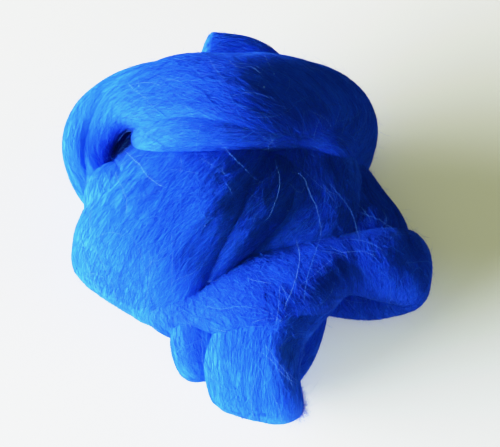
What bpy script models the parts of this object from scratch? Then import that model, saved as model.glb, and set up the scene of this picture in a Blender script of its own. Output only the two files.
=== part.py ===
"""A bundle of blue wool roving, folded and wrapped by its own strand.

One combed strand, about 55 mm wide and 20 to 30 mm thick, is folded back and
forth on itself and then wrapped over the top by its own free run.  Each fold is
a loft of soft oval sections along a smooth path.  The lofts are fused into one
solid, whose creases are the places where the folds press together, and the
underside is trimmed to the flat spot on which the bundle rests.

Frame: +Z up, the origin under the middle of the bundle on the surface it rests
on, -Y towards the loose front loop, +X towards the folded arm.
"""

import math

import bmesh
import bpy
import numpy as np

MM = 0.001
DEGREES = math.pi / 180.0

# Driving dimensions of the strand and of its solid.
RING_PITCH = 4.0 * MM          # distance between sections along a fold
SIDES = 28                     # corners of a section
SECTION_POWER = 2.3            # 2 is an ellipse, more is squarer
ROUNDED_END = 14.0 * MM        # length over which an end closes
BLUNT_END = 5.0 * MM           # the same at the torn tail
END_SLIVER = 0.06              # size of the last section of a closed end
PATH_SAMPLES = 2400            # points that measure the length of a path
FUSE_VOXEL = 2.4 * MM          # grid on which the folds are fused
SMOOTH_PASSES = 2              # passes that even the fused skin
SMOOTH_SHARE = 0.5             # how far each pass moves a point to its neighbours' mean
KEPT_FACES = 0.21              # share of the faces kept when the solid is thinned
PRESSED_FLAT = 1.5 * MM        # depth that the surface presses flat underneath
CUTTER_SIDE = 400.0 * MM       # the block that trims the underside
CUTTER_DEPTH = 40.0 * MM

WOOL_BLUE = (0.012, 0.085, 0.80, 1.0)
WOOL_ROUGHNESS = 0.85

# Columns of every table, in millimetres and degrees: the middle of a section,
# the direction across the strand (its azimuth, and its roll up from level),
# half the width along that direction, and half the thickness.
COLUMNS = ("x", "y", "z", "azimuth", "roll", "half_width", "half_thickness")

FOLDS = {
    # The loose loop at the front: floor layer, turn, upper layer.
    "front_loop": (
        (8, 20, 9, 0, 0, 26, 9),
        (10, -48, 9, 0, 0, 29, 9),
        (6, -71, 10, 0, 0, 27, 9),
        (2, -91, 11, -8, 0, 21.5, 9.5),
        (3.5, -103, 19, -14, 2, 22, 10),
        (1, -95, 28, -10, 6, 22, 11.5),
        (2, -75, 28.5, 0, 8, 25, 13),
        (15, -46, 26.5, 14, 2, 30, 11),
        (34, -12, 27, 16, -6, 26, 12),
        (30, 12, 28, 10, -8, 27, 11),
        (24, 40, 28, 5, -4, 26, 10),
    ),
    # The wide sheet that comes from under the wrap and folds under at the left.
    "left_sheet": (
        (-16, 6, 10, 0, 0, 34, 9),
        (-18, 40, 10, 0, 0, 38, 9),
        (-20, 54, 20, 0, 0, 40, 9.5),
        (-19, 43, 30, 0, 3, 35, 11.5),
        (-24, 22, 31, -4, 4, 36, 15),
        (-36, -2, 31.5, -10, 8, 41, 17.5),
        (-46, -21, 31.5, -22, 9, 40, 17),
        (-55, -39, 28, -30, 8, 37, 14),
        (-59, -48, 19, -34, 5, 33.5, 10),
        (-50, -38, 10, -38, 0, 30, 9.5),
        (-34, -8, 10, -30, 0, 28, 9.5),
    ),
    # The arm across the front, its turn at the right, the layer under it, and
    # the wrap over the top from left to right, which tucks under.
    "arm_and_wrap": (
        (-48, -50, 18, -95, 0, 10, 10),
        (-38, -60, 21, -85, 0, 12, 12),
        (-22, -66, 27, -78, 8, 13, 12),
        (-1, -60.5, 31.5, -62, 16, 20, 13.5),
        (21, -49, 29.8, -60, 18, 24, 13),
        (46, -37.5, 27.2, -84, 14, 16, 12.5),
        (63, -37, 26.3, -90, 8, 20, 12),
        (77.5, -37.5, 20.5, -92, 0, 20, 11.5),
        (62, -39, 11, -92, 0, 20, 10.5),
        (38, -36, 10, -98, 0, 20, 10),
        (5, -22, 10, -105, 0, 26, 9),
        (-35, -10, 10, -100, 0, 26, 9),
        (-62, 2, 10, -140, 10, 18, 9),
        (-75, 14, 15, -170, 30, 11, 9),
        (-81, 30, 29, 150, 34, 10, 10),
        (-69, 43.5, 42, 116, 22, 12, 11),
        (-42, 47, 48, 98, 2, 22, 14),
        (-5, 47, 47, 90, 0, 27, 15),
        (25, 51, 36, 84, 0, 28, 15),
        (44.5, 47, 27, 66, -8, 27.5, 14),
        (47, 23, 19, 46, -25, 17, 11),
        (47, 9, 13, 20, -30, 13, 9.5),
        (44, 0, 10, -40, -10, 15, 9),
        (26, 2, 10, -75, 0, 16, 9),
    ),
    # The torn end that stands up behind the wrap.
    "tail": (
        (22, 44, 16, 0, 0, 18, 9),
        (18, 64, 20, 30, 10, 16, 9),
        (2, 81, 29, 75, 25, 15.5, 8),
        (-27, 85, 35, 88, 32, 14, 7),
    ),
}

# Plies that part from the strand and lie over or between its folds.
PLIES = {
    "left_lump": (
        (-58, 18, 22, -20, 0, 12, 8),
        (-64, 10, 28.5, -20, 8, 15.5, 9.5),
        (-67, 2, 31, -20, 9, 16.5, 10.5),
        (-67.5, -8, 29, -20, 7, 16, 10.5),
        (-62, -18, 22, -20, 0, 12, 8),
    ),
    "outer_ply": (
        (-22, 55.5, 49, 90, -8, 11, 10),
        (-51, 56.5, 48.5, 104, -16, 11.5, 9.5),
        (-70, 51, 44.5, 116, -22, 10.5, 9.5),
        (-82.5, 42, 39, 138, -24, 9.5, 9),
        (-89, 28, 31, 160, -20, 7.5, 8),
        (-84.5, 14, 17, 180, -10, 7.5, 7.5),
        (-73, 2, 10, 200, 0, 8, 7),
    ),
    "slant_band": (
        (-20, 19, 31, -58, 0, 11, 8),
        (-36, 11.5, 34.5, -57, 0, 13, 9),
        (-48, 4.5, 34, -55, 0, 13, 9.5),
        (-58, -3, 29, -52, 0, 12, 9),
    ),
    "middle_ply": (
        (-50, 42, 30, 120, 20, 10, 7),
        (-60, 34, 26, 130, 20, 10, 7),
        (-67, 25, 22, 140, 20, 9, 7),
        (-72, 15, 16, 150, 20, 8, 6),
    ),
    "front_swell": (
        (-58, 27, 30, 100, 0, 5, 5),
        (-53.5, 27.5, 38, 99, 0, 9, 8),
        (-46, 28, 42.5, 96, 0, 12, 9.5),
        (-34, 28.5, 47, 92, 0, 14, 10.5),
        (-18, 29.5, 48, 92, 0, 14.5, 11),
        (6, 33, 44, 92, 0, 14, 10),
        (27, 35, 36.5, 84, 0, 13, 9),
        (45, 30.5, 29.5, 70, -8, 12.5, 9.5),
        (54, 24, 18, 50, -15, 9, 8),
    ),
    "inner_fold": (
        (31, 24, 20, 0, 0, 11, 8),
        (33, 13, 26.5, -2, -12, 12, 8),
        (32, 0.5, 29, -12, -16, 13, 8),
        (27, -11.5, 29, -25, -14, 10, 8),
    ),
    "ridge": (
        (18, 26.5, 27, 0, -8, 15, 8),
        (17, 10, 31, -6, -16, 17, 9.5),
        (10, -5.5, 34.5, -18, -18, 16, 9.5),
        (1, -19.5, 37, -30, -18, 11, 9),
        (-8, -33.5, 37, -38, -12, 8, 8),
        (-18, -46, 34, -42, 0, 6, 6),
        (-28, -55, 28, -45, 0, 5, 5),
    ),
    "shoulder": (
        (43, 27, 16, 0, 0, 13, 9),
        (48, 15, 18.5, 4, -8, 16, 10),
        (54, -1.5, 22, 10, -11, 18, 10),
        (60.5, -19, 23.5, 20, -12, 19, 10),
        (62, -37, 24.5, 24, -10, 17, 8),
    ),
    "side_lobe": (
        (-18, -60, 24, 15, 0, 14, 10),
        (-23, -75, 24, 15, -4, 15, 12),
        (-14, -93, 18, 12, -4, 17, 11),
    ),
}
BLUNT_LAST_END = ("tail",)


def unit(vectors):
    """Scales each row of an array to length one."""
    return vectors / np.maximum(np.linalg.norm(vectors, axis=-1, keepdims=True), 1e-12)


def smooth_through(knots, values, at):
    """A cubic curve through the rows, its slopes the means of its neighbours'."""
    steps = np.diff(knots)[:, None]
    rise = np.diff(values, axis=0) / steps
    slopes = np.empty_like(values)
    slopes[1:-1] = (rise[:-1] * steps[1:] + rise[1:] * steps[:-1]) / (steps[1:] + steps[:-1])
    slopes[0] = rise[0]
    slopes[-1] = rise[-1]
    i = np.clip(np.searchsorted(knots, at, side="right") - 1, 0, len(knots) - 2)
    span = (knots[i + 1] - knots[i])[:, None]
    t = (at - knots[i])[:, None] / span
    return (
        (2 * t**3 - 3 * t**2 + 1) * values[i]
        + (t**3 - 2 * t**2 + t) * span * slopes[i]
        + (3 * t**2 - 2 * t**3) * values[i + 1]
        + (t**3 - t**2) * span * slopes[i + 1]
    )


def length_along(points):
    """The distance travelled at each point of a path."""
    return np.concatenate([[0.0], np.cumsum(np.linalg.norm(np.diff(points, axis=0), axis=1))])


def sections(rows):
    """Evenly spaced sections of a fold: middle, across, up, half sizes, distance."""
    column = dict(zip(COLUMNS, np.array(rows, dtype=float).T))
    azimuth = column["azimuth"] * DEGREES
    roll = column["roll"] * DEGREES
    middle = np.stack([column["x"], column["y"], column["z"]], axis=1) * MM
    across = np.stack(
        [np.cos(azimuth) * np.cos(roll), np.sin(azimuth) * np.cos(roll), np.sin(roll)], axis=1
    )
    halves = np.stack([column["half_width"], column["half_thickness"]], axis=1) * MM
    values = np.concatenate([middle, across, halves], axis=1)
    knots = length_along(middle)
    fine = smooth_through(knots, values, np.linspace(0.0, knots[-1], PATH_SAMPLES))
    travelled = length_along(fine[:, :3])
    count = int(travelled[-1] / RING_PITCH) + 1
    at = np.linspace(0.0, travelled[-1], count)
    rings = np.stack([np.interp(at, travelled, value) for value in fine.T], axis=1)
    middle = rings[:, :3]
    along = unit(np.gradient(middle, axis=0))
    across = rings[:, 3:6]
    across = unit(across - (across * along).sum(axis=1, keepdims=True) * along)
    return middle, across, np.cross(along, across), rings[:, 6], rings[:, 7], at


def closing(distance, length):
    """A quarter circle from nearly nothing to full size over the given length."""
    share = np.clip(distance / length, 0.0, 1.0)
    return np.sqrt(np.clip(1.0 - (1.0 - share) ** 2, END_SLIVER**2, 1.0))


def loft(name, rows, collection):
    """One fold as a closed mesh: an oval section carried along its path."""
    middle, across, up, half_width, half_thickness, at = sections(rows)
    last_end = BLUNT_END if name in BLUNT_LAST_END else ROUNDED_END
    size = closing(at, ROUNDED_END) * closing(at[-1] - at, last_end)
    angle = np.linspace(0.0, 2.0 * math.pi, SIDES, endpoint=False)
    cosine, sine = np.cos(angle), np.sin(angle)
    oval = (np.abs(cosine) ** SECTION_POWER + np.abs(sine) ** SECTION_POWER) ** (-1 / SECTION_POWER)
    points = (
        middle[:, None, :]
        + (cosine * oval)[None, :, None] * ((half_width * size)[:, None] * across)[:, None, :]
        + (sine * oval)[None, :, None] * ((half_thickness * size)[:, None] * up)[:, None, :]
    )
    points[..., 2] -= PRESSED_FLAT
    ring = np.arange(len(at) - 1)[:, None] * SIDES
    side = np.arange(SIDES)[None, :]
    after = (side + 1) % SIDES
    quads = np.stack([ring + side, ring + after, ring + SIDES + after, ring + SIDES + side], axis=2)
    last = (len(at) - 1) * SIDES
    caps = [list(range(SIDES))[::-1], list(range(last, last + SIDES))]
    mesh = bpy.data.meshes.new(name)
    mesh.from_pydata(points.reshape(-1, 3).tolist(), [], quads.reshape(-1, 4).tolist() + caps)
    piece = bpy.data.objects.new(name, mesh)
    collection.objects.link(piece)
    return piece


def fold_lofts(collection):
    """Every fold and ply as a guide object in the collection."""
    return [loft(name, rows, collection) for name, rows in {**FOLDS, **PLIES}.items()]


def joined_mesh(name, pieces):
    """One mesh that holds the faces of all the pieces."""
    builder = bmesh.new()
    for piece in pieces:
        builder.from_mesh(piece.data)
    mesh = bpy.data.meshes.new(name)
    builder.to_mesh(mesh)
    builder.free()
    return mesh


def floor_cutter(collection):
    """A block whose top is the resting surface."""
    bpy.ops.mesh.primitive_cube_add(size=1.0)
    block = bpy.context.object
    block.name = "resting_surface"
    for owner in list(block.users_collection):
        owner.objects.unlink(block)
    collection.objects.link(block)
    block.scale = (CUTTER_SIDE, CUTTER_SIDE, CUTTER_DEPTH)
    block.location = (0.0, 0.0, -CUTTER_DEPTH / 2.0)
    return block


def add_modifiers(roving, floor):
    """Fuses the lofts, evens the skin, thins it and flattens the underside."""
    fuse = roving.modifiers.new("fuse", "REMESH")
    fuse.mode = "VOXEL"
    fuse.voxel_size = FUSE_VOXEL
    even = roving.modifiers.new("even", "SMOOTH")
    even.factor = SMOOTH_SHARE
    even.iterations = SMOOTH_PASSES
    thin = roving.modifiers.new("thin", "DECIMATE")
    thin.ratio = KEPT_FACES
    rest = roving.modifiers.new("rest", "BOOLEAN")
    rest.operation = "DIFFERENCE"
    rest.solver = "EXACT"
    rest.object = floor


def wool_material():
    """Dyed wool: a matt deep blue."""
    material = bpy.data.materials.new("dyed_wool")
    material.use_nodes = True
    shader = material.node_tree.nodes["Principled BSDF"]
    shader.inputs["Base Color"].default_value = WOOL_BLUE
    shader.inputs["Roughness"].default_value = WOOL_ROUGHNESS
    shader.inputs["Metallic"].default_value = 0.0
    return material


def hide_guides(guides):
    """Shows the guides as wires and keeps them out of the model."""
    for guide in guides:
        guide.hide_render = True
        guide.display_type = "WIRE"


def build():
    """The fused and trimmed bundle, with its guides in a collection of their own."""
    for thing in list(bpy.data.objects):
        bpy.data.objects.remove(thing)
    parts = bpy.data.collections.new("wool_roving")
    guides = bpy.data.collections.new("wool_roving_guides")
    for collection in (parts, guides):
        bpy.context.scene.collection.children.link(collection)
    lofts = fold_lofts(guides)
    floor = floor_cutter(guides)
    roving = bpy.data.objects.new("roving", joined_mesh("roving", lofts))
    parts.objects.link(roving)
    roving.data.materials.append(wool_material())
    add_modifiers(roving, floor)
    hide_guides(lofts + [floor])


build()
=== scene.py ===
"""The looks of a bundle of blue wool roving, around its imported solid.

One combed strand is folded back and forth and wrapped over the top by its own
free run.  Every fold is a soft oval section carried along a path; its skin has
the grooves between fibre locks, and a coat of real fibres lies on it the way the
wool was combed.  Loose fibres, fuzz and a few flecks finish the surface.
"""

import logging
import math
from dataclasses import dataclass, field
from enum import Enum
from typing import Dict, Optional, Sequence, Tuple, Union

import bpy
import numpy as np
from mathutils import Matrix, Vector
from mathutils.bvhtree import BVHTree


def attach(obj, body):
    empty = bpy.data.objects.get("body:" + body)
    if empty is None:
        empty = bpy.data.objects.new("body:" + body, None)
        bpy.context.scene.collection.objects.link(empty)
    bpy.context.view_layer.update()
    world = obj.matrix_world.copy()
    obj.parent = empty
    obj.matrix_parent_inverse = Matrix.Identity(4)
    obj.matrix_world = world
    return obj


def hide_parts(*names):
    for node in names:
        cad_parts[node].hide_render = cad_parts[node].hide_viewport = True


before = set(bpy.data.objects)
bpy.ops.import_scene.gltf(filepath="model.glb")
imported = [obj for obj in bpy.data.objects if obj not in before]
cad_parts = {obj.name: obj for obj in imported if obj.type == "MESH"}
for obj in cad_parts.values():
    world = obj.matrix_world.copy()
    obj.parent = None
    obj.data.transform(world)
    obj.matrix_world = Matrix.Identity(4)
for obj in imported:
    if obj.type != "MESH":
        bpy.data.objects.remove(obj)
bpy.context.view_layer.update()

MM = 0.001
NEARLY_UP = (0.05, 0.02, 1.0)
BODY = "root"
NODE = "roving"
LOG = logging.getLogger("roving")

Row = Tuple[float, ...]
Colour = Tuple[float, float, float, float]
Socket = Union[float, Colour]
Array = np.ndarray

# The steps of the wool's colour, from the darkest.
TONE_STEPS = ("Dark", "Deep", "Middle", "Pale")

# Columns of a fold's table, in millimetres and degrees: the middle of a section,
# the direction across the strand (its azimuth, and its roll up from level),
# half the width along that direction, and half the thickness.
COLUMNS = ("x", "y", "z", "azimuth", "roll", "half_width", "half_thickness")

FRONT_LOOP: Sequence[Row] = (
    (8, 20, 9, 0, 0, 26, 9),
    (10, -48, 9, 0, 0, 29, 9),
    (6, -71, 10, 0, 0, 27, 9),
    (2, -91, 11, -8, 0, 21.5, 9.5),
    (3.5, -103, 19, -14, 2, 22, 10),
    (1, -95, 28, -10, 6, 22, 11.5),
    (2, -75, 28.5, 0, 8, 25, 13),
    (15, -46, 26.5, 14, 2, 30, 11),
    (34, -12, 27, 16, -6, 26, 12),
    (30, 12, 28, 10, -8, 27, 11),
    (24, 40, 28, 5, -4, 26, 10),
)
LEFT_SHEET: Sequence[Row] = (
    (-16, 6, 10, 0, 0, 34, 9),
    (-18, 40, 10, 0, 0, 38, 9),
    (-20, 54, 20, 0, 0, 40, 9.5),
    (-19, 43, 30, 0, 3, 35, 11.5),
    (-24, 22, 31, -4, 4, 36, 15),
    (-36, -2, 31.5, -10, 8, 41, 17.5),
    (-46, -21, 31.5, -22, 9, 40, 17),
    (-55, -39, 28, -30, 8, 37, 14),
    (-59, -48, 19, -34, 5, 33.5, 10),
    (-50, -38, 10, -38, 0, 30, 9.5),
    (-34, -8, 10, -30, 0, 28, 9.5),
)
ARM: Sequence[Row] = (
    (-48, -50, 18, -95, 0, 10, 10),
    (-38, -60, 21, -85, 0, 12, 12),
    (-22, -66, 27, -78, 8, 13, 12),
    (-1, -60.5, 31.5, -62, 16, 20, 13.5),
    (21, -49, 29.8, -60, 18, 24, 13),
    (46, -37.5, 27.2, -84, 14, 16, 12.5),
    (63, -37, 26.3, -90, 8, 20, 12),
    (77.5, -37.5, 20.5, -92, 0, 20, 11.5),
    (62, -39, 11, -92, 0, 20, 10.5),
    (38, -36, 10, -98, 0, 20, 10),
    (5, -22, 10, -105, 0, 26, 9),
)
WRAP: Sequence[Row] = (
    (38, -36, 10, -98, 0, 20, 10),
    (5, -22, 10, -105, 0, 26, 9),
    (-35, -10, 10, -100, 0, 26, 9),
    (-62, 2, 10, -140, 10, 18, 9),
    (-75, 14, 15, -170, 30, 11, 9),
    (-81, 30, 29, 150, 34, 10, 10),
    (-69, 43.5, 42, 116, 22, 12, 11),
    (-42, 47, 48, 98, 2, 22, 14),
    (-5, 47, 47, 90, 0, 27, 15),
    (25, 51, 36, 84, 0, 28, 15),
    (44.5, 47, 27, 66, -8, 27.5, 14),
    (47, 23, 19, 46, -25, 17, 11),
    (47, 9, 13, 20, -30, 13, 9.5),
    (44, 0, 10, -40, -10, 15, 9),
    (26, 2, 10, -75, 0, 16, 9),
)
TAIL: Sequence[Row] = (
    (22, 44, 16, 0, 0, 18, 9),
    (18, 64, 20, 30, 10, 16, 9),
    (2, 81, 29, 75, 25, 15.5, 8),
    (-27, 85, 35, 88, 32, 14, 7),
)
LEFT_LUMP: Sequence[Row] = (
    (-58, 18, 22, -20, 0, 12, 8),
    (-64, 10, 28.5, -20, 8, 15.5, 9.5),
    (-67, 2, 31, -20, 9, 16.5, 10.5),
    (-67.5, -8, 29, -20, 7, 16, 10.5),
    (-62, -18, 22, -20, 0, 12, 8),
)
OUTER_PLY: Sequence[Row] = (
    (-22, 55.5, 49, 90, -8, 11, 10),
    (-51, 56.5, 48.5, 104, -16, 11.5, 9.5),
    (-70, 51, 44.5, 116, -22, 10.5, 9.5),
    (-82.5, 42, 39, 138, -24, 9.5, 9),
    (-89, 28, 31, 160, -20, 7.5, 8),
    (-84.5, 14, 17, 180, -10, 7.5, 7.5),
    (-73, 2, 10, 200, 0, 8, 7),
)
SLANT_BAND: Sequence[Row] = (
    (-20, 19, 31, -58, 0, 11, 8),
    (-36, 11.5, 34.5, -57, 0, 13, 9),
    (-48, 4.5, 34, -55, 0, 13, 9.5),
    (-58, -3, 29, -52, 0, 12, 9),
)
MIDDLE_PLY: Sequence[Row] = (
    (-50, 42, 30, 120, 20, 10, 7),
    (-60, 34, 26, 130, 20, 10, 7),
    (-67, 25, 22, 140, 20, 9, 7),
    (-72, 15, 16, 150, 20, 8, 6),
)
FRONT_SWELL: Sequence[Row] = (
    (-58, 27, 30, 100, 0, 5, 5),
    (-53.5, 27.5, 38, 99, 0, 9, 8),
    (-46, 28, 42.5, 96, 0, 12, 9.5),
    (-34, 28.5, 47, 92, 0, 14, 10.5),
    (-18, 29.5, 48, 92, 0, 14.5, 11),
    (6, 33, 44, 92, 0, 14, 10),
    (27, 35, 36.5, 84, 0, 13, 9),
    (45, 30.5, 29.5, 70, -8, 12.5, 9.5),
    (54, 24, 18, 50, -15, 9, 8),
)
INNER_FOLD: Sequence[Row] = (
    (31, 24, 20, 0, 0, 11, 8),
    (33, 13, 26.5, -2, -12, 12, 8),
    (32, 0.5, 29, -12, -16, 13, 8),
    (27, -11.5, 29, -25, -14, 10, 8),
)
RIDGE: Sequence[Row] = (
    (18, 26.5, 27, 0, -8, 15, 8),
    (17, 10, 31, -6, -16, 17, 9.5),
    (10, -5.5, 34.5, -18, -18, 16, 9.5),
    (1, -19.5, 37, -30, -18, 11, 9),
    (-8, -33.5, 37, -38, -12, 8, 8),
    (-18, -46, 34, -42, 0, 6, 6),
    (-28, -55, 28, -45, 0, 5, 5),
)
SHOULDER: Sequence[Row] = (
    (43, 27, 16, 0, 0, 13, 9),
    (48, 15, 18.5, 4, -8, 16, 10),
    (54, -1.5, 22, 10, -11, 18, 10),
    (60.5, -19, 23.5, 20, -12, 19, 10),
    (62, -37, 24.5, 24, -10, 17, 8),
)
SIDE_LOBE: Sequence[Row] = (
    (-18, -60, 24, 15, 0, 14, 10),
    (-23, -75, 24, 15, -4, 15, 12),
    (-14, -93, 18, 12, -4, 17, 11),
)

# Columns of a loose fibre's table: places across and down a 500 by 447 frame,
# in pixels, that it passes as the camera sees it.
LOOSE: Sequence[Sequence[Tuple[float, float]]] = (
    ((125, 151), (137, 163), (151, 180), (168, 188)),
    ((114, 171), (121, 186), (126, 200), (127, 216)),
    ((216, 138), (226, 150), (240, 163), (252, 176), (262, 183)),
    ((274, 138), (269, 145), (268, 153)),
    ((276, 158), (279, 176), (278, 196), (272, 212), (263, 224)),
    ((288, 171), (302, 176), (309, 190), (316, 206), (321, 224), (321, 240)),
    ((321, 238), (316, 252), (311, 268), (306, 288), (303, 305)),
    ((296, 238), (299, 256), (296, 276), (289, 296), (284, 312)),
    ((290, 183), (296, 190), (301, 193), (305, 187)),
    ((328, 182), (340, 197), (350, 211), (355, 226), (360, 240)),
    ((175, 354), (185, 346), (196, 341), (204, 339)),
    ((176, 362), (190, 352), (201, 347)),
    ((201, 338), (203, 352), (204, 366), (212, 379), (226, 388), (238, 390)),
    ((152, 74), (166, 79), (178, 81), (190, 86)),
    ((120, 64), (140, 59), (165, 55), (190, 52)),
    ((228, 60), (240, 67), (252, 68), (262, 76)),
    ((205, 262), (196, 270), (186, 274), (172, 283)),
    ((330, 60), (340, 74), (352, 86)),
    ((355, 210), (370, 216), (386, 222), (398, 232)),
    ((265, 345), (276, 360), (286, 372), (293, 388)),
    ((150, 262), (163, 258), (176, 249), (186, 237)),
    ((232, 96), (246, 92), (262, 94), (276, 100)),
    ((96, 238), (110, 232), (124, 235), (136, 229)),
    ((330, 246), (345, 252), (362, 250), (377, 256)),
    ((205, 306), (222, 308), (240, 306), (256, 309)),
)
# Where the flecks lie, in the same frame.
FLECKS: Sequence[Tuple[float, float]] = (
    (274, 74),
    (139, 86),
    (205, 226),
    (264, 87),
    (288, 211),
)

# Columns of a patch where light and shade are painted on the wool: its middle and its reach, in
# millimetres, and how much the tone changes there. A rise is painted light on the lit left side; a
# fall is painted shade in the pocket under the wrap and on the shaded right side.
PAINTED_LIGHT_AND_SHADE: Sequence[Row] = (
    (-67, 27, 28, 14, -2.1),
    (-60, 33, 34, 9, -1.2),
    (-90, 34, 32, 26, 0.9),
    (-74, 56, 46, 22, 0.6),
    (-86, -22, 22, 30, 0.8),
    (-72, 2, 40, 14, 0.8),
    (12, 19, 50, 24, -0.6),
    (34, 21, 42, 20, -0.6),
    (8, -57, 42, 24, -0.35),
    (46, -33, 36, 24, -0.5),
    (36, -14, 36, 16, -0.4),
    (-8, -100, 32, 24, 0.35),
    (6, -112, 10, 14, -0.6),
    (-64, -24, 44, 20, 0.4),
)

# Layers of fine fibres: degrees from the lay, millimetres along and across, weight.
FINE_LAYERS: Sequence[Tuple[float, float, float, float]] = (
    (0.0, 7.0, 0.62, 0.30),
    (28.0, 5.0, 0.62, 0.26),
    (-33.0, 5.0, 0.62, 0.26),
    (70.0, 4.0, 0.62, 0.18),
)


def unit(vectors: Array) -> Array:
    """Scales each vector to length one.

    Args:
        vectors: an array whose last axis holds x, y and z.

    Returns:
        The array with unit vectors.
    """
    return vectors / np.maximum(np.linalg.norm(vectors, axis=-1, keepdims=True), 1e-12)


def length_along(points: Array) -> Array:
    """Measures a path.

    Args:
        points: the path's points, one a row.

    Returns:
        The distance travelled at each point.
    """
    steps = np.linalg.norm(np.diff(points, axis=0), axis=1)
    return np.concatenate([[0.0], np.cumsum(steps)])


def smooth_through(knots: Array, values: Array, at: Array) -> Array:
    """Carries a cubic curve through rows of values (a Catmull-Rom spline).

    Args:
        knots: the place of each row.
        values: the rows.
        at: the places wanted.

    Returns:
        The curve's rows at those places.
    """
    steps = np.diff(knots)[:, None]
    rise = np.diff(values, axis=0) / steps
    slopes = np.empty_like(values)
    slopes[1:-1] = (rise[:-1] * steps[1:] + rise[1:] * steps[:-1]) / (steps[1:] + steps[:-1])
    slopes[0], slopes[-1] = rise[0], rise[-1]
    i = np.clip(np.searchsorted(knots, at, side="right") - 1, 0, len(knots) - 2)
    span = (knots[i + 1] - knots[i])[:, None]
    t = (at - knots[i])[:, None] / span
    return (
        (2 * t**3 - 3 * t**2 + 1) * values[i]
        + (t**3 - 2 * t**2 + t) * span * slopes[i]
        + (3 * t**2 - 2 * t**3) * values[i + 1]
        + (t**3 - t**2) * span * slopes[i + 1]
    )


def lattice_noise(rng: np.random.Generator, u: Array, v: Array, cells: Tuple[int, int]) -> Array:
    """Smooth random values on a grid of cells that repeats in both directions.

    The value is a mean of the four random corners of a cell, weighed by the
    smooth step 3t^2 - 2t^3 in each direction.

    Args:
        rng: the source of the corners' values.
        u: places along the first direction, in cells.
        v: places along the second direction, in cells.
        cells: how many cells there are before the pattern repeats.

    Returns:
        Values from -1 to 1.
    """
    corners = rng.uniform(-1.0, 1.0, cells)
    iu, iv = np.floor(u).astype(int), np.floor(v).astype(int)
    fu, fv = u - iu, v - iv
    fu, fv = fu * fu * (3.0 - 2.0 * fu), fv * fv * (3.0 - 2.0 * fv)
    a, b = iu % cells[0], (iu + 1) % cells[0]
    c, d = iv % cells[1], (iv + 1) % cells[1]
    low = corners[a, c] * (1.0 - fu) + corners[b, c] * fu
    high = corners[a, d] * (1.0 - fu) + corners[b, d] * fu
    return low * (1.0 - fv) + high * fv


def mesh_of(name: str, points: Array, quads: Array, triangles: Array) -> bpy.types.Mesh:
    """Makes a smooth-shaded mesh from whole arrays.

    Args:
        name: the mesh's name.
        points: the vertices, one a row, in metres.
        quads: four corners a row.
        triangles: three corners a row.

    Returns:
        The mesh.
    """
    mesh = bpy.data.meshes.new(name)
    corners = np.concatenate([quads.ravel(), triangles.ravel()]).astype(np.int32)
    sizes = np.concatenate([np.full(len(quads), 4), np.full(len(triangles), 3)])
    starts = np.concatenate([[0], np.cumsum(sizes)[:-1]]).astype(np.int32)
    mesh.vertices.add(len(points))
    mesh.vertices.foreach_set("co", points.astype(np.float32).ravel())
    mesh.loops.add(len(corners))
    mesh.loops.foreach_set("vertex_index", corners)
    mesh.polygons.add(len(sizes))
    mesh.polygons.foreach_set("loop_start", starts)
    mesh.update(calc_edges=True)
    mesh.polygons.foreach_set("use_smooth", np.ones(len(sizes), dtype=bool))
    mesh.validate()
    return mesh


def linked(name: str, data: bpy.types.ID) -> bpy.types.Object:
    """Makes an object and puts it into the scene.

    Args:
        name: the object's name.
        data: its mesh, camera or light.

    Returns:
        The object.
    """
    made = bpy.data.objects.new(name, data)
    bpy.context.scene.collection.objects.link(made)
    return made


def closed_tube(rings: int, sides: int) -> Tuple[Array, Array]:
    """Numbers the faces of a tube of rings that closes on a pole at each end.

    The rings' vertices come first, ring by ring, and the two poles last.

    Args:
        rings: how many rings there are.
        sides: how many vertices a ring has.

    Returns:
        The quads between the rings, and the triangles around the poles.
    """
    grid = np.arange(rings * sides).reshape(rings, sides)
    after = np.roll(grid, -1, axis=1)
    quads = np.stack([grid[:-1], after[:-1], after[1:], grid[1:]], axis=2).reshape(-1, 4)
    first, last = np.full(sides, rings * sides), np.full(sides, rings * sides + 1)
    caps = np.concatenate(
        [
            np.stack([first, after[0], grid[0]], axis=1),
            np.stack([last, grid[-1], after[-1]], axis=1),
        ]
    )
    return quads, caps


def copies_of(faces: Array, count: int, own: int) -> Array:
    """Numbers the faces of many equal meshes whose vertices follow each other.

    Args:
        faces: the first one's faces, one a row.
        count: how many meshes there are.
        own: how many vertices each has.

    Returns:
        All their faces, one a row.
    """
    step = np.arange(count)[:, None, None] * own
    return (faces[None] + step).reshape(-1, faces.shape[1])


def add_tone(mesh: bpy.types.Mesh, tone: Array) -> None:
    """Stores one number a vertex, which the wool's colour follows.

    Args:
        mesh: the mesh.
        tone: a number for each vertex: 1 and over is pale, 0 is deep, and below
            0 it darkens further.
    """
    layer = mesh.attributes.new("tone", "FLOAT", "POINT")
    layer.data.foreach_set("value", tone.astype(np.float32).ravel())


def add_lay_map(mesh: bpy.types.Mesh, lay: Array) -> None:
    """Stores where each vertex lies along and across the fibres, as a UV map.

    Args:
        mesh: the mesh.
        lay: two numbers a vertex, in metres.
    """
    corner = np.empty(len(mesh.loops), dtype=np.int32)
    mesh.loops.foreach_get("vertex_index", corner)
    layer = mesh.uv_layers.new(name="lay")
    layer.data.foreach_set("uv", lay[corner].astype(np.float32).ravel())


def set_sockets(node: bpy.types.Node, values: Dict[str, Socket]) -> None:
    """Sets a node's inputs by their names.

    Args:
        node: the node.
        values: the number or colour for each input.
    """
    for label, value in values.items():
        node.inputs[label].default_value = value


class Lay(Enum):
    """Which way the fibres run on a fold."""

    ALONG = "along the strand"
    AROUND = "around the strand"


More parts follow.
